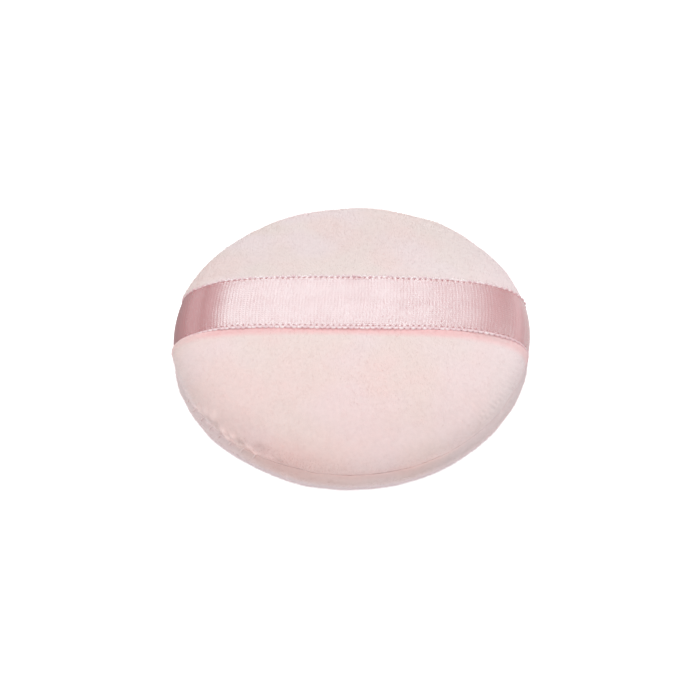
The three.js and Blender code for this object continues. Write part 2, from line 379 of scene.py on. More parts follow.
def new_piece(name, points, faces, material, node=None, smooth=True):
    """Puts a mesh into the scene. Its faces come in blocks, each with one number of corners."""
    mesh = bpy.data.meshes.new(name)
    mesh.vertices.add(len(points))
    mesh.vertices.foreach_set("co", np.asarray(points, dtype=np.float32).ravel())
    corners = [np.asarray(block, dtype=np.int32) for block in faces]
    sizes = np.concatenate([np.full(len(block), block.shape[1]) for block in corners])
    mesh.loops.add(int(sizes.sum()))
    mesh.loops.foreach_set("vertex_index", np.concatenate([block.ravel() for block in corners]))
    mesh.polygons.add(len(sizes))
    mesh.polygons.foreach_set("loop_start", np.concatenate([[0], np.cumsum(sizes)[:-1]]).astype(np.int32))
    mesh.polygons.foreach_set("use_smooth", np.full(len(sizes), smooth))
    mesh.update(calc_edges=True)
    mesh.validate()
    mesh.materials.append(material)
    piece = bpy.data.objects.new(name, mesh)
    bpy.context.scene.collection.objects.link(piece)
    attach(piece, "root")
    if node:
        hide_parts(node)
    return piece


def skin_faces(rows, columns):
    """Faces of a closed skin: quads between rows of points that each go round, and a fan to one more point
    at either end. The two end points come after the rows."""
    row, column = np.meshgrid(np.arange(rows - 1), np.arange(columns), indexing="ij")
    here = (row * columns + column).ravel()
    beside = (row * columns + (column + 1) % columns).ravel()
    quads = np.stack([here, beside, beside + columns, here + columns], axis=1)
    ring = np.arange(columns)
    turned = (ring + 1) % columns
    first = np.stack([turned, ring, np.full(columns, rows * columns)], axis=1)
    last_row = (rows - 1) * columns
    last = np.stack([last_row + ring, last_row + turned, np.full(columns, rows * columns + 1)], axis=1)
    return [quads, np.concatenate([first, last])]


def skin_piece(name, rings, ends, material, node=None):
    """A closed skin over rings of points, shut at each end by a point, with its faces turned outwards."""
    rows, columns, _ = rings.shape
    points = np.concatenate([rings.reshape(-1, 3), np.asarray(ends)])
    quads, fans = skin_faces(rows, columns)
    a, b, c, d = (points[quads[:, corner]] for corner in range(4))
    volume = np.einsum("ij,ij->", a, np.cross(b, c)) + np.einsum("ij,ij->", a, np.cross(c, d))
    if volume < 0:
        quads, fans = quads[:, ::-1], fans[:, ::-1]
    return new_piece(name, points, [quads, fans], material, node)


# Materials


class Nodes:
    """The nodes of one material or world. A value is a socket that gives it, a number or a colour."""

    def __init__(self, tree):
        self.tree = tree

    def put(self, value, socket):
        """Links a socket's value to an input, or sets a number or colour on it."""
        if isinstance(value, bpy.types.NodeSocket):
            self.tree.links.new(value, socket)
        else:
            socket.default_value = value

    def add(self, kind, settings=None, **inputs):
        """Adds a node with its settings and inputs. An input's name is its socket's, or _ and its number."""
        node = self.tree.nodes.new(kind)
        for key, value in (settings or {}).items():
            setattr(node, key, value)
        for key, value in inputs.items():
            name = int(key[1:]) if key[1:].isdigit() else key.replace("_", " ")
            self.put(value, node.inputs[name])
        return node

    def math(self, operation, *values):
        """Values taken together one after the other, as by ADD, SUBTRACT, MULTIPLY or MAXIMUM."""
        result, *others = values
        for other in others:
            result = self.add("ShaderNodeMath", {"operation": operation}, _0=result, _1=other).outputs[0]
        return result

    def distance(self, value, middle=0.0):
        """How far a value is from a middle one."""
        apart = self.math("SUBTRACT", value, middle) if middle else value
        return self.add("ShaderNodeMath", {"operation": "ABSOLUTE"}, _0=apart).outputs[0]

    def ramp(self, value, between=(0.0, 1.0), ends=(0.0, 1.0), smooth=False):
        """Runs from one end to the other while the value runs between two places, and stays there beyond."""
        settings = {"interpolation_type": "SMOOTHSTEP"} if smooth else None
        return self.add(
            "ShaderNodeMapRange", settings, Value=value,
            From_Min=between[0], From_Max=between[1], To_Min=ends[0], To_Max=ends[1],
        ).outputs[0]

    def mix(self, share, start, end):
        """From one number to another by a share."""
        return self.add("ShaderNodeMix", {"data_type": "FLOAT"}, _0=share, _2=start, _3=end).outputs[0]

    def blend(self, share, start, end):
        """From one colour to another by a share."""
        return self.add("ShaderNodeMix", {"data_type": "RGBA"}, _0=share, _6=start, _7=end).outputs[2]

    def scaled(self, colour, shade):
        """A colour times a number."""
        return self.add("ShaderNodeVectorMath", {"operation": "SCALE"}, _0=colour, Scale=shade).outputs[0]

    def noise(self, vector, scale, **inputs):
        return self.add("ShaderNodeTexNoise", Vector=vector, Scale=scale, **inputs).outputs["Fac"]

    def bump(self, height, strength, distance, invert=False, **inputs):
        return self.add(
            "ShaderNodeBump", {"invert": invert},
            Height=height, Strength=strength, Distance=distance, **inputs,
        ).outputs["Normal"]


def new_material(name, shade):
    """A material whose nodes a function adds. The function returns the inputs of the surface by name."""
    material = bpy.data.materials.new(name)
    material.use_nodes = True
    nodes = Nodes(material.node_tree)
    surface = material.node_tree.nodes["Principled BSDF"]
    for key, value in shade(nodes).items():
        nodes.put(value, surface.inputs[key])
    return material


def object_place(nodes):
    return nodes.add("ShaderNodeTexCoord").outputs["Object"]


def linear(red, green, blue):
    """A colour as it looks on screen, 0 to 255, as the light that the shader works in."""
    shares = np.array([red, green, blue]) / 255
    light = np.where(shares <= 0.04045, shares / 12.92, ((shares + 0.055) / 1.055) ** 2.4)
    return (*light.tolist(), 1.0)


def velour_colour(nodes, place, over_seam, over_fold):
    """Warm velour with cooler patches and cooler to the right. Painted shade makes it cooler at the foot
    and at the sides below the seam, a deeper pink to the front and round the seam, and a pinker band
    just in front of the ribbon's edge, a painted shadow."""
    x, y, z = nodes.add("ShaderNodeSeparateXYZ", Vector=place).outputs
    sideways = nodes.distance(x)
    patch = nodes.noise(place, 62.0, Detail=2.0, Roughness=0.45, Distortion=0.4)
    warm = nodes.blend(nodes.ramp(patch, (0.42, 0.60)), linear(243, 229, 225), linear(246, 227, 224))
    shifted = nodes.add("ShaderNodeMapping", Vector=place, Location=(0.13, 0.27, 0.4)).outputs["Vector"]
    cooler = nodes.ramp(nodes.noise(shifted, 80.0, Detail=1.0), (0.50, 0.66), (0.0, 0.5))
    # Cooler to the right; cooler at the foot and at the sides below the seam, which is painted shade
    right = nodes.ramp(x, (0.016, 0.038), (0.0, 0.7))
    low = nodes.ramp(over_fold, (-0.0036, -0.0014), (0.9, 0.0))
    sunk = nodes.math("SUBTRACT", over_seam, nodes.ramp(sideways, (0.016, 0.036), (0.0, 0.007)))
    ends = nodes.ramp(sunk, (-0.0036, -0.0014), (0.55, 0.0))
    cool_tint_and_shade = nodes.math("MAXIMUM", right, low, ends)
    nap = nodes.blend(nodes.math("MAXIMUM", cooler, cool_tint_and_shade), warm, linear(246, 232, 235))

    # A deeper pink to the front and round the seam, which is painted shade
    blush = nodes.ramp(nodes.distance(x, -0.011), (0.0, 0.017), (2.5, 1.0), smooth=True)
    blush = nodes.mix(nodes.ramp(over_seam, (0.0050, 0.0085)), blush, 1.0)
    leaning = nodes.math("MULTIPLY", nodes.ramp(y, (-0.030, 0.012), (0.31, 0.0)), blush)
    painted_seam_depth = nodes.ramp(over_seam, (0.0, 0.0052), (0.55, 0.0), smooth=True)
    over_foot = nodes.ramp(over_seam, (-0.0022, -0.0006))
    amid = nodes.ramp(sideways, (0.014, 0.026), (1.0, 0.25))
    painted_seam_shade = nodes.math("MULTIPLY", painted_seam_depth, over_foot, amid)
    spared = nodes.math("SUBTRACT", 1.0, cool_tint_and_shade)
    deep = nodes.math("MULTIPLY", nodes.math("MAXIMUM", leaning, painted_seam_shade), spared)
    grown = nodes.blend(deep, nap, linear(242, 206, 201))

    # A pinker painted shadow on the velour just in front of the ribbon's front edge
    front_edge = -RIBBON_WIDTH / 2
    pressed = nodes.ramp(y, (front_edge - 0.0025, front_edge - 0.0005), smooth=True)
    before = nodes.ramp(y, (front_edge, 0.0), (1.0, 0.0))
    leftmost = nodes.ramp(x, (-0.038, -0.029), (0.3, 1.0))
    rightmost = nodes.ramp(x, (0.020, 0.032), (1.0, 0.6))
    above = nodes.ramp(z, (SEAM_HEIGHT, SEAM_HEIGHT + 0.002))
    painted_ribbon_shadow = nodes.math("MULTIPLY", pressed, before, leftmost, rightmost, above)
    return nodes.blend(painted_ribbon_shadow, grown, linear(250, 206, 206))


def velour_painted_shade(nodes, place, over_seam, over_fold, speck):
    """Painted shade and light of the velour: fine specks in its tone, painted lighter where the pile is
    raised and darker where it is lowered, painted shade to the rear and in a band along the seam, with a
    painted lit line over that band at the sides, a painted shaded one under it to the right, a paler painted
    rim below the seam and a paler painted shoulder."""
    x, y, _ = nodes.add("ShaderNodeSeparateXYZ", Vector=place).outputs
    sideways = nodes.distance(x)
    raised = nodes.add("ShaderNodeAttribute", {"attribute_name": "raised"}).outputs["Fac"]
    # Painted highlight where the pile is raised and painted shade where it is lowered
    paler = nodes.ramp(raised, (-2.5, 2.5), (0.85, 1.15))
    # Painted shade to the rear
    rearward = nodes.math("ADD", y, nodes.ramp(x, (-0.040, 0.0), (0.010, 0.0)))
    painted_rear_shade = nodes.ramp(rearward, (0.0, 0.020), (1.0, 0.92))

    # Painted bands of shade and light along the seam and on the shoulder
    amid = nodes.ramp(sideways, (0.022, 0.034), (1.0, 0.4))
    fold = nodes.ramp(over_fold, (-0.0029, -0.0013), (1.16, 1.0), smooth=True)
    seam = nodes.ramp(over_seam, (-0.0005, 0.0004), (0.86, 1.0), smooth=True)
    beside = nodes.ramp(sideways, (0.012, 0.020))
    aside = nodes.math("MULTIPLY", beside, nodes.ramp(x, (0.025, 0.032), (1.0, 0.0)))
    lit = nodes.ramp(over_seam, (0.0008, 0.0032), (1.06, 1.0), smooth=True)
    lit = nodes.math("MULTIPLY", lit, nodes.ramp(over_seam, (-0.0006, 0.0), (0.93, 1.0), smooth=True))
    shaded = nodes.ramp(nodes.distance(over_seam, -0.0012), (0.0001, 0.0011), (0.955, 1.0), smooth=True)
    shoulder = nodes.ramp(nodes.distance(over_seam, 0.0070), (0.0, 0.0026), (1.038, 1.0), smooth=True)
    painted_seam_bands = (
        (amid, fold), (amid, seam), (aside, lit), (nodes.ramp(x, (0.010, 0.020)), shaded),
        (nodes.ramp(x, (-0.022, -0.014)), shoulder),
    )
    steps = [nodes.mix(share, 1.0, band) for share, band in painted_seam_bands]
    return nodes.math("MULTIPLY", speck, paler, painted_rear_shade, *steps)


def velour_material(name, lift=1.0):
    """Short dense pile: a soft sheen over its colour and painted shade, and a fine clumped bump. A lift above
    1 makes a copy painted that much lighter.
    """

    def shade(nodes):
        place = object_place(nodes)
        x, _, z = nodes.add("ShaderNodeSeparateXYZ", Vector=place).outputs
        over_seam = nodes.math("SUBTRACT", z, SEAM_HEIGHT)
        over_fold = nodes.math("SUBTRACT", over_seam, nodes.ramp(x, (-0.020, -0.002), (0.0008, 0.0)))
        clump = nodes.noise(place, 1100.0, Detail=3.0, Roughness=0.6)
        speck = nodes.ramp(clump, (0.3, 0.7), (0.97 * lift, 1.02 * lift))
        return {
            "Base Color": nodes.scaled(
                velour_colour(nodes, place, over_seam, over_fold),
                velour_painted_shade(nodes, place, over_seam, over_fold, speck),
            ),
            "Normal": nodes.bump(clump, 0.35, 0.00015),
            "Roughness": 0.95,
            "Specular IOR Level": 0.15,
            "Sheen Weight": 0.22,
            "Sheen Roughness": 0.45,
            "Sheen Tint": linear(242, 246, 249),
        }

    return new_material(name, shade)


def satin_colour(nodes, cloth, along, folded):
    """Rose yarn. Where the ribbon bends down to the seams it has stripes of painted shade and paler ones of
    painted reflection, and painted shade where it folds in at the left end.
    """
    yarn = nodes.noise(cloth, 420.0, Detail=3.0, Roughness=0.6)
    colour = nodes.blend(yarn, linear(188, 92, 97), linear(201, 105, 110))
    # Stripes of painted shade, and below zero paler stripes of painted reflection
    painted_stripes = nodes.math("ADD", *(
        nodes.ramp(nodes.distance(along, middle), (0.0, half), (share, 0.0), smooth=True)
        for middle, half, share in PAINTED_BEND_STRIPES
    ))
    striped = nodes.blend(painted_stripes, colour, linear(174, 42, 48))
    paler = nodes.blend(nodes.math("MULTIPLY", painted_stripes, -1.0), striped, linear(228, 156, 160))
    # Painted shade where the ribbon folds into the seam at the left end
    return nodes.blend(folded, paler, linear(146, 50, 56))


def satin_shade(nodes):
    """Woven satin: threads that float along the ribbon, so that the shine is narrow along it and wide
    across, over a fine weave with a rib at every weft thread, pitted beside the pale selvedges. The pits
    are darkened by painted shade, and the selvedge border is paler at the rear by painted light."""
    cloth = nodes.add("ShaderNodeUVMap", {"uv_map": "cloth"}).outputs["UV"]
    along, across, _ = nodes.add("ShaderNodeSeparateXYZ", Vector=cloth).outputs
    floats = nodes.add(
        "ShaderNodeTexBrick", {"offset": 0.5, "squash": 1.0}, Vector=cloth, Scale=1000.0,
        Mortar_Size=0.06, Mortar_Smooth=0.8, Brick_Width=0.86, Row_Height=0.30,
    )
    ribs, picks = (
        nodes.add(
            "ShaderNodeTexWave", {"wave_type": "BANDS", "bands_direction": way}, Vector=cloth,
            Scale=scale, Distortion=0.8, Detail=1.0, Detail_Scale=0.6,
        ).outputs["Fac"]
        for way, scale in (("X", 440.0), ("Y", 500.0))
    )
    # Where the ribbon folds into the seam at the left: rougher there, and darker in colour as painted shade
    folded = nodes.ramp(along, (-0.0400, -0.0360), (1.0, 0.0), smooth=True)

    edge = nodes.distance(across)
    beside_edge = nodes.distance(edge, RIBBON_WIDTH / 2 - 0.0007)
    pit_row = nodes.ramp(beside_edge, (0.00008, 0.0003), (1.0, 0.0), smooth=True)
    loops = nodes.add(
        "ShaderNodeTexWave", {"wave_type": "BANDS", "bands_direction": "X"}, Vector=cloth, Scale=LOOP_WAVES,
    ).outputs["Fac"]
    pits = nodes.math("MULTIPLY", pit_row, nodes.ramp(loops, (0.55, 0.95)))
    border = nodes.ramp(edge, (RIBBON_WIDTH / 2 - 0.00045, RIBBON_WIDTH / 2 - 0.0003))
    rear = nodes.ramp(across, (-0.001, 0.001))
    matt = nodes.math("MULTIPLY", border, nodes.ramp(rear, ends=(0.9, 0.4)))

    # Darker in the pits, which is painted shade
    dyed = nodes.scaled(satin_colour(nodes, cloth, along, folded), nodes.ramp(pits, ends=(1.0, 0.8)))
    # The border is paler yarn, and paler still at the rear than at the front, which is painted light
    pale = nodes.blend(rear, linear(233, 186, 191), linear(246, 216, 220))
    dull = nodes.math("MAXIMUM", pits, folded, matt)
    lines = nodes.bump(floats.outputs["Fac"], 0.35, 0.00004, invert=True)
    ribbed = nodes.bump(nodes.math("MULTIPLY", ribs, picks), 0.5, 0.00004, Normal=lines)
    tangent = nodes.add("ShaderNodeTangent", {"direction_type": "UV_MAP", "uv_map": "cloth"})
    return {
        "Base Color": nodes.blend(border, dyed, pale),
        "Roughness": nodes.ramp(dull, ends=(0.22, 0.7)),
        "Normal": nodes.bump(pits, 0.5, 0.00005, invert=True, Normal=ribbed),
        "Tangent": tangent.outputs["Tangent"],
        "IOR": 2.0,
        "Specular Tint": (0.74, 1.0, 1.0, 1.0),
        "Specular IOR Level": 1.0,
        "Anisotropic": 0.74,
        "Anisotropic Rotation": 0.25,
    }


def selvedge_shade(nodes):
    """The loops of the ribbon's selvedge: pale shiny yarn with a fine twist, deeper towards the seams by
    painted shade.
    """
    place = object_place(nodes)
    x, _, _ = nodes.add("ShaderNodeSeparateXYZ", Vector=place).outputs
    twist = nodes.noise(place, 2600.0, Detail=2.0)
    pale = nodes.ramp(nodes.noise(place, 520.0, Detail=1.0), (0.38, 0.62))
    colour = nodes.blend(pale, linear(240, 212, 216), linear(255, 243, 244))
    # Painted shade: deeper towards the seams
    turned = nodes.ramp(nodes.distance(x), (0.029, 0.036))
    return {
        "Base Color": nodes.blend(turned, colour, linear(228, 188, 193)),
        "Normal": nodes.bump(twist, 0.8, 0.00006),
        "Roughness": 0.4,
        "Specular IOR Level": 0.8,
    }


def thread_shade(nodes):
    """Spun cotton thread, with a fine uneven twist."""
    twist = nodes.noise(object_place(nodes), 4000.0, Detail=2.0)
    return {
        "Base Color": nodes.blend(twist, linear(236, 212, 210), linear(246, 228, 226)),
        "Normal": nodes.bump(twist, 0.4, 0.00005),
        "Roughness": 0.8,
    }


def sponge_shade(nodes):
    """Open-cell sponge: small round pores, darker inside by painted shade."""
    pores = nodes.add("ShaderNodeTexVoronoi", Vector=object_place(nodes), Scale=1400.0).outputs["Distance"]
    return {
        "Base Color": nodes.blend(pores, linear(214, 206, 190), linear(246, 242, 232)),
        "Normal": nodes.bump(pores, 0.6, 0.0002),
        "Roughness": 0.9,
    }


# Pad


def cover_rings(face, turns, outside_steps):
    """Rings of a cover as one closed cloth: its outside from the middle out to the crease, the seam allowance
    turned in from there, and its inside back to the middle. Each ring is one share of the outline. The last
    one of the outside is the lip. It leaves an uneven share of the seam's gap open, and all of it at the
    ribbon's ends."""
    angle = np.linspace(0, 2 * np.pi, turns, endpoint=False)
    side = face["side"]
    outside_share = np.linspace(1, 0, outside_steps + 1)[1:]
    outside = pad_points(face, angle[None, :], outside_share[:, None])
    closed = LIP_SHARE + LIP_SPREAD * np.tanh(ring_noise(angle, 20, 90, seed=6))
    lip = np.where(np.abs(outside[-1, :, 1]) < RIBBON_WIDTH / 2 + LIP_MARGIN, 1, closed)
    outside[-1, :, 2] = SEAM_HEIGHT + side * SEAM_GAP / 2 * lip
    raw_edge = PAD_RADIUS - CREASE_DEPTH - ALLOWANCE

    def flat_ring(radius, height):
        level = np.full(turns, SEAM_HEIGHT + side * height)
        return np.stack([radius * np.cos(angle), radius * np.sin(angle), level], axis=-1)[None]

    inside_share = np.linspace(0.2, 1, 15)[:-1]
    inside = pad_points(face, angle[None, :], inside_share[:, None], CLOTH_THICKNESS)
    fold = np.hypot(inside[0, :, 0], inside[0, :, 1]).min()
    top = SEAM_GAP / 2 + CLOTH_THICKNESS
    turned_in = [flat_ring(raw_edge, SEAM_GAP / 2), flat_ring(raw_edge, top), flat_ring(fold, top)]
    rings = [outside, *turned_in, inside]
    middle = SEAM_HEIGHT + side * (face["rise"] - face["press"])
    ends = [(0, 0, middle), (0, 0, middle - side * CLOTH_THICKNESS)]
    return np.concatenate(rings), ends


def set_raised(piece, raised):
    """Stores at each point how far the pile is raised there, for the material, which paints raised pile
    lighter and lowered pile darker.
    """
    piece.data.attributes.new("raised", "FLOAT", "POINT").data.foreach_set("value", raised.astype(np.float32))


def velour_cover(name, node, face, material):
    """A cover with how far its pile is raised. Only its outside has raised pile."""
    turns, steps = 900, 85
    rings, ends = cover_rings(face, turns, steps)
    piece = skin_piece(name, rings, ends, material, node)
    angle = np.linspace(0, 2 * np.pi, turns, endpoint=False)
    raised = np.zeros(len(piece.data.vertices))
    raised[:turns * steps] = raised_nap(face, angle[None, :], np.linspace(1, 0, steps + 1)[1:, None]).ravel()
    set_raised(piece, raised)
    return piece


def pile_piece(name, face, low, high, count, seed, material):
    """Short fibres over a band of a face: closed spikes of three sides, rooted in the cloth at random with
    the same number per area, and leaning as the nap was brushed. They are shorter under the ribbon and near
    the seam, though less so where it was closed by hand. None goes below the ground."""
    rng = np.random.default_rng(seed)
    trial_share = rng.uniform(low, high, 4 * count)
    radius, height, _ = face_outline(face, trial_share)
    step = 1e-3
    radius_next, height_next, _ = face_outline(face, np.clip(trial_share + step, 0, 1))
    area = radius * np.hypot(radius_next - radius, height_next - height)
    share = trial_share[rng.uniform(0, area.max(), area.size) < area][:count]
    if share.size < count:
        raise ValueError(f"{name} has room for {share.size} of {count} fibres")
    angle = rng.uniform(0, 2 * np.pi, share.size)
    root = pad_points(face, angle, share)
    across = normalised(pad_points(face, angle + 1e-3, share) - root)
    down = normalised(pad_points(face, angle, np.clip(share - 1e-3, 0, 1)) - root)
    out = normalised(np.cross(across, down))
    out *= np.sign((out * (root - [0, 0, SEAM_HEIGHT])).sum(axis=-1, keepdims=True))
    lean_along = 0.5 * random_waves(root, 0.016, seed + 1) + rng.normal(0, 0.5, share.size)
    lean_down = 0.5 * random_waves(root, 0.016, seed + 2) + rng.normal(0, 0.5, share.size)
    way = normalised(out + 0.8 * (lean_along[:, None] * across + lean_down[:, None] * down))
    length = PILE_LENGTH * rng.uniform(0.5, 1.15, (share.size, 1))
    over_seam = np.abs(root[:, 2:] - SEAM_HEIGHT)
    closing = near_angle(angle, CLOSING_MIDDLE, CLOSING_ARC)[:, None]
    length *= np.clip(over_seam / SHORT_PILE_REACH, SHORT_PILE + SHORT_PILE_CLOSING * closing, 1)
    if face is TOP_FACE:
        off_middle = np.abs(root[:, 1:2] - stray(root[:, :1]))
        length *= np.where(off_middle < RIBBON_WIDTH / 2 - 0.0001, PRESSED_PILE, 1)
    tip = root + length * way
    tip[:, 2] = np.maximum(tip[:, 2], 0.00001)
    turn = rng.uniform(0, 2 * np.pi, share.size)[:, None] + np.array([0, 2, 4]) * np.pi / 3
    foot = root[:, None] - 0.25 * PILE_LENGTH * out[:, None]
    around = np.cos(turn)[..., None] * across[:, None] + np.sin(turn)[..., None] * down[:, None]
    foot = foot + PILE_WIDTH / 2 * around
    foot[..., 2] = np.maximum(foot[..., 2], 0.00002)
    points = np.concatenate([foot, tip[:, None]], axis=1)
    first = 4 * np.arange(share.size)[:, None]
    faces = np.concatenate([first + corner for corner in ([0, 1, 3], [1, 2, 3], [2, 0, 3], [2, 1, 0])])
    a, b, c = points[0, 0], points[0, 1], points[0, 3]
    if np.dot(np.cross(b - a, c - a), a - points[0].mean(axis=0)) < 0:
        faces = faces[:, ::-1]
    piece = new_piece(name, points.reshape(-1, 3), [faces], material, smooth=False)
    set_raised(piece, np.repeat(raised_nap(face, angle, share), 4))
    return piece


def sponge(material):
    """The sponge inside, an inset under both faces and pressed in round the seam allowances."""
    turns, steps = 96, 20
    angle = np.linspace(0, 2 * np.pi, turns, endpoint=False)[None, :]
    inset = CLOTH_THICKNESS + SPONGE_GAP
    share = np.linspace(1, 0.28, steps + 1)[1:, None]
    top = pad_points(TOP_FACE, angle, share, inset)
    base = pad_points(BASE_FACE, angle, share[::-1], inset)
    slot = (PAD_RADIUS - CREASE_DEPTH - ALLOWANCE - SPONGE_GAP) / PAD_RADIUS
    waist = np.stack([top[-1] * [slot, slot, 1], base[0] * [slot, slot, 1]])
    high = SEAM_HEIGHT + TOP_FACE["rise"] - inset
    low = SEAM_HEIGHT - BASE_FACE["rise"] + BASE_FACE["press"] + inset
    rings, ends = np.concatenate([top, waist, base]), [(0, 0, high), (0, 0, low)]
    piece = skin_piece("soft_sponge", rings, ends, material, "sponge_core")
    return piece


# Ribbon


def ribbon_line(steps, side):
    """The ribbon's middle line on the -X or +X side as radius and height, evenly stepped from the crown over
    the shoulder, round the lip and into the seam, with its normals and how far along it each point is."""
    share = np.linspace(1, 0, 400)
    _, height, radius = face_outline(TOP_FACE, share)
    off = RIBBON_LIFT - shoulder_press(side, radius)
    over = np.stack([radius, height], axis=-1) + off[:, None] * outline_normal(TOP_FACE, share)
    over = over[over[:, 1] > RIBBON_LIFT]
    lip = np.array([over[-1, 0] - RIBBON_LIFT, RIBBON_LIFT])
    turn = np.linspace(0, np.pi / 2, 24)[1:, None]
    bend = lip + RIBBON_LIFT * np.concatenate([np.cos(turn), -np.sin(turn)], axis=1)
    tab = np.linspace(bend[-1], bend[-1] - [RIBBON_TAB, 0], 40)[1:]
    line = np.concatenate([over, bend, tab])
    travelled = np.concatenate([[0], np.cumsum(np.linalg.norm(np.diff(line, axis=0), axis=1))])
    even = np.linspace(0, travelled[-1], steps)
    line = np.stack([np.interp(even, travelled, line[:, k]) for k in range(2)], axis=-1)
    along = normalised(np.gradient(line, axis=0))
    return line, np.stack([-along[:, 1], along[:, 0]], axis=-1), even


def ribbon_half_width(along):
    """Half the ribbon's width at a distance along it from its middle. It lies widest over the crown and is
    drawn in a little towards the seams: a bell curve."""
    return RIBBON_WIDTH / 2 * (1 + RIBBON_SPREAD * (2 * np.exp(-((along / 0.026) ** 2)) - 1))


def stray(x):
    """How far the ribbon strays to the rear at a distance to the right of the pad's middle."""
    return RIBBON_STRAY * np.clip((1 + x / PAD_RADIUS) / 2, 0, 1)


def lay_on_pad(side, line, normal, across, out):
    """Points of the ribbon on the -X or +X side, at a distance across it and out from its middle line. It
    bends round the rim, so each cross line keeps to a circle as wide as the pad's."""
    radius, height = line[..., 0] + normal[..., 0] * out, line[..., 1] + normal[..., 1] * out
    x = side * radius * np.sqrt(1 - (across / PAD_RADIUS) ** 2)
    return np.stack(np.broadcast_arrays(x, across + stray(x), SEAM_HEIGHT + height), axis=-1)


def ribbon_piece(material):
    """The ribbon as one closed sheet: its cross-section, thinner at the edges, carried along its line."""
    steps, columns = 260, 40
    across = RIBBON_WIDTH / 2 * np.sin(np.linspace(-np.pi / 2, np.pi / 2, columns))
    edge = np.clip((RIBBON_WIDTH / 2 - np.abs(across)) / 0.00008, 0, 1)
    half = RIBBON_THICKNESS / 2 * np.sqrt(0.15 + 0.85 * edge)
    flat_across = np.concatenate([across, across[::-1]])
    loop_out = np.concatenate([half, -half[::-1]])
    halves, reach = [], []
    for side in (-1, 1):
        line, normal, travelled = ribbon_line(steps, side)
        loop_across = flat_across * ribbon_half_width(travelled)[:, None] / (RIBBON_WIDTH / 2)
        place = np.stack([side * travelled[:, None] + 0 * loop_across, loop_across], axis=-1)
        lift = 0.00004 * random_waves(place, 0.009, seed=21) * np.clip(1.2 - travelled / 0.04, 0, 1)[:, None]
        halves.append(lay_on_pad(side, line[:, None], normal[:, None], loop_across, loop_out + lift))
        reach.append(travelled)
    rings = np.concatenate([halves[0][::-1], halves[1][1:]])
    lengths = np.concatenate([-reach[0][::-1], reach[1][1:]])
    ends = [rings[0].mean(axis=0), rings[-1].mean(axis=0)]
    piece = skin_piece("satin_ribbon", rings, ends, material, "ribbon_band")
    uv = np.stack(np.broadcast_arrays(lengths[:, None], flat_across), axis=-1).reshape(-1, 2)
    uv = np.concatenate([uv, [[lengths[0], 0], [lengths[-1], 0]]])
    corners = np.empty(len(piece.data.loops), dtype=np.int32)
    piece.data.loops.foreach_get("vertex_index", corners)
    piece.data.uv_layers.new(name="cloth").data.foreach_set("uv", uv[corners].astype(np.float32).ravel())
    return piece


def selvedge_piece(name, edge, material):
    """The looped selvedge of one edge: small plump bars of yarn in a row, each bowed out over the edge as
    half a cosine and thinned at both its ends as a circle is."""
    length = ribbon_line(900, -1)[2][-1] - RIBBON_TAB
    count = int(2 * length / LOOP_PITCH)
    bars, sides = 9, 8
    start = LOOP_PITCH * (np.arange(count) - (count - 1) / 2)
    swing = np.linspace(-0.5, 0.5, bars)
    rng = np.random.default_rng(40 + edge)
    jitter = rng.normal(0, 0.07, (count, 1)) * LOOP_PITCH
    along = start[:, None] + jitter + swing * LOOP_PITCH * 0.88
    bow = np.cos(np.pi * swing) * (1 + rng.normal(0, 0.25, (count, 1)))
    across = ribbon_half_width(along) - LOOP_INSET - REAR_LOOP_INSET * edge + LOOP_BOW_OUT * bow
    out = REAR_LOOP_RISE * edge - LOOP_SINK + LOOP_BOW_UP * bow
    point, normal_here = on_ribbon(along, edge * across, out)
    ahead, _ = on_ribbon(along + 1e-5, edge * across, out)
    forward = normalised(ahead - point)
    sideways = normalised(np.cross(normal_here, forward))
    turn = 2 * np.pi * np.arange(sides) / sides
    thinned = np.sqrt(np.clip(1 - (1.9 * swing) ** 2, 0.06, 1))
    thick = LOOP_YARN * thinned * rng.uniform(0.72, 1.12, (count, 1))
    wide = 1.25 * thick[:, :, None, None] * np.cos(turn)[:, None] * sideways[:, :, None]
    high = 1.3 * thick[:, :, None, None] * np.sin(turn)[:, None] * normal_here[:, :, None]
    rings = point[:, :, None] + wide + high
    quads, fans = skin_faces(bars, sides)
    ends = np.stack([point[:, 0], point[:, -1]], axis=1)
    points = np.concatenate([rings.reshape(count, -1, 3), ends], axis=1)
    first = np.arange(count)[:, None, None] * points.shape[1]
    faces = [(first + quads).reshape(-1, 4), (first + fans).reshape(-1, 3)]
    piece = new_piece(name, points.reshape(-1, 3), faces, material)
    return piece


def on_ribbon(along, across, out):
    """Points and normals at distances along the ribbon from its middle, across it and out from its face."""
    here, facing = np.empty((*along.shape, 3)), np.empty((*along.shape, 3))
    for side in (-1, 1):
        line, normal, travelled = ribbon_line(900, side)
        at = [np.interp(side * along, travelled, values) for values in (*line.T, *normal.T)]
        middle, up = np.stack(at[:2], axis=-1), np.stack(at[2:], axis=-1)
        there = np.sign(along) == side
        here[there] = lay_on_pad(side, middle, up, across, out)[there]
        facing[there] = normalised(np.stack([side * at[2], 0 * at[2], at[3]], axis=-1))[there]
    return here, facing


# Studio

VIEW_RISE = np.radians(45.0)
VIEW_TURN = np.radians(4.25)  # the puff lies turned by this much, its right end nearer
VIEW_ROLL = np.radians(2.2)  # and the camera leans, which lifts the right of the picture
VIEW_DISTANCE = 0.320
VIEW_LENS = 73.0
SENSOR_WIDTH = 36
PICTURE_SIDE = 700
FOCAL_PIXELS = VIEW_LENS / SENSOR_WIDTH * PICTURE_SIDE
SEAM_PIXEL = (351.0, 341.6)  # where the middle of the seam's plane shows
ROOM_LIGHT = 0.53
FLOOR_GLOW = 0.75
FLOOR_HALF = 3.0
FLOOR_HEIGHT = -0.00002

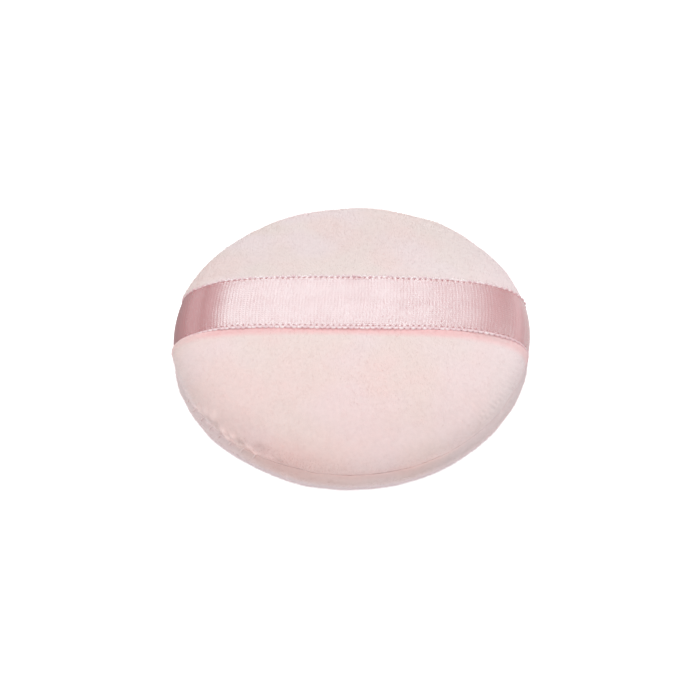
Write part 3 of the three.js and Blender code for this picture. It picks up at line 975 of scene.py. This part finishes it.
# Name, place, width, depth and power
SOFTBOXES = (
    ("back_softbox", (-0.11, 0.53, 0.54), 0.38, 0.28, 1.34),
    ("back_softbox_left", (-0.34, 0.53, 0.54), 0.08, 0.28, 0.15),
    ("back_softbox_edge", (0.13, 0.53, 0.54), 0.10, 0.28, 0.26),
    ("back_softbox_spill", (0.24, 0.53, 0.54), 0.12, 0.28, 0.18),
    ("right_softbox", (0.48, 0.30, 0.46), 0.30, 0.30, 0.5),
    ("front_softbox", (-0.02, -0.50, 0.50), 0.70, 0.45, 1.64),
)


def add_camera():
    """The camera looks at the puff from the front and leans about its own axis. Its aim is moved off the
    middle of the seam's plane by what puts that at its place in the picture."""
    level = VIEW_DISTANCE * np.cos(VIEW_RISE)
    middle = Vector((0, 0, SEAM_HEIGHT))
    seat = middle + Vector((
        level * np.sin(VIEW_TURN), -level * np.cos(VIEW_TURN), VIEW_DISTANCE * np.sin(VIEW_RISE)
    ))
    ahead = (middle - seat).normalized()
    right = Quaternion(ahead, VIEW_ROLL) @ ahead.cross(Vector((0, 0, 1))).normalized()
    up = right.cross(ahead)
    scale = VIEW_DISTANCE / FOCAL_PIXELS
    half = PICTURE_SIDE / 2
    aim = middle + right * (half - SEAM_PIXEL[0]) * scale - up * (half - SEAM_PIXEL[1]) * scale
    back = (seat - aim).normalized()
    right = (right - back * right.dot(back)).normalized()
    data = bpy.data.cameras.new("camera")
    data.lens = VIEW_LENS
    data.sensor_width = SENSOR_WIDTH
    data.clip_start = 0.01
    camera = bpy.data.objects.new("camera", data)
    turned = Matrix((right, back.cross(right), back)).transposed().to_4x4()
    camera.matrix_world = Matrix.Translation(seat) @ turned
    bpy.context.scene.collection.objects.link(camera)
    bpy.context.scene.camera = camera


def add_softbox(name, place, width, depth, power):
    """A rectangular light that faces the puff and isn't seen itself."""
    data = bpy.data.lights.new(name, "AREA")
    data.shape = "RECTANGLE"
    data.size, data.size_y = width, depth
    data.energy = power
    lamp = bpy.data.objects.new(name, data)
    lamp.location = place
    lamp.visible_camera = False
    lamp.rotation_euler = (Vector((0, 0, SEAM_HEIGHT)) - Vector(place)).to_track_quat("-Z", "Y").to_euler()
    bpy.context.scene.collection.objects.link(lamp)


def seen_directly(nodes):
    """1 for rays from the camera and for those that a glossy or clear surface sends on."""
    path = nodes.add("ShaderNodeLightPath").outputs
    return nodes.math("MAXIMUM", path["Is Camera Ray"], path["Is Glossy Ray"], path["Is Transmission Ray"])


def floor_shade(nodes):
    """A matt white that is lifted to the white of the picture where it is seen."""
    return {
        "Base Color": linear(228, 228, 228),
        "Roughness": 1.0,
        "Specular IOR Level": 0.0,
        "Emission Color": (1, 1, 1, 1),
        "Emission Strength": nodes.math("MULTIPLY", seen_directly(nodes), FLOOR_GLOW),
    }


def add_floor():
    """A white floor with the puff's shadow on it."""
    half, low = FLOOR_HALF, FLOOR_HEIGHT
    corners = [(-half, -half, low), (half, -half, low), (half, half, low), (-half, half, low)]
    mesh = bpy.data.meshes.new("floor")
    mesh.from_pydata(corners, [], [(0, 1, 2, 3)])
    mesh.materials.append(new_material("white_floor", floor_shade))
    floor = bpy.data.objects.new("floor", mesh)
    bpy.context.scene.collection.objects.link(floor)


def set_world():
    """A white room that lights evenly, and is white where it is seen."""
    world = bpy.data.worlds.new("white_room")
    bpy.context.scene.world = world
    world.use_nodes = True
    nodes = Nodes(world.node_tree)
    strength = nodes.add(
        "ShaderNodeMath", {"operation": "MULTIPLY_ADD"},
        _0=seen_directly(nodes), _1=1 - ROOM_LIGHT, _2=ROOM_LIGHT,
    )
    background = world.node_tree.nodes["Background"]
    nodes.put(strength.outputs[0], background.inputs["Strength"])
    nodes.put((1, 1, 1, 1), background.inputs["Color"])


# The puff

PUCKERS = {face["side"]: settled_puckers(face, seed) for face, seed in ((TOP_FACE, 31), (BASE_FACE, 32))}

velour = velour_material("pink_velour")
# The pile's copy is painted 3% lighter, to offset the shade among its fibres
fibre = velour_material("velour_pile", lift=1.03)
satin = new_material("rose_satin", satin_shade)
cotton = new_material("sewing_cotton", thread_shade)
foam = new_material("soft_sponge", sponge_shade)
yarn = new_material("selvedge_yarn", selvedge_shade)

velour_cover("velour_top", "top_cover", TOP_FACE, velour)
velour_cover("velour_base", "bottom_cover", BASE_FACE, velour)
sponge(foam)
pile_piece("top_pile_crown", TOP_FACE, PILE_SPLIT, 0.999, 45000, 61, fibre)
pile_piece("top_pile_rim", TOP_FACE, 0.0, PILE_SPLIT, 45000, 62, fibre)
pile_piece("base_pile_crown", BASE_FACE, PILE_SPLIT, REST_SHARE, 40000, 63, fibre)
pile_piece("base_pile_rim", BASE_FACE, 0.0, PILE_SPLIT, 45000, 64, fibre)
ribbon_piece(satin)
selvedge_piece("front_selvedge", -1, yarn)
selvedge_piece("rear_selvedge", 1, yarn)
for node in ("seam_needle_thread", "seam_bobbin_thread", "closing_thread"):
    thread = bpy.data.objects[node]
    thread.data.materials.clear()
    thread.data.materials.append(cotton)

add_camera()
add_floor()
set_world()
for softbox in SOFTBOXES:
    add_softbox(*softbox)
bpy.context.scene.view_settings.view_transform = "Standard"
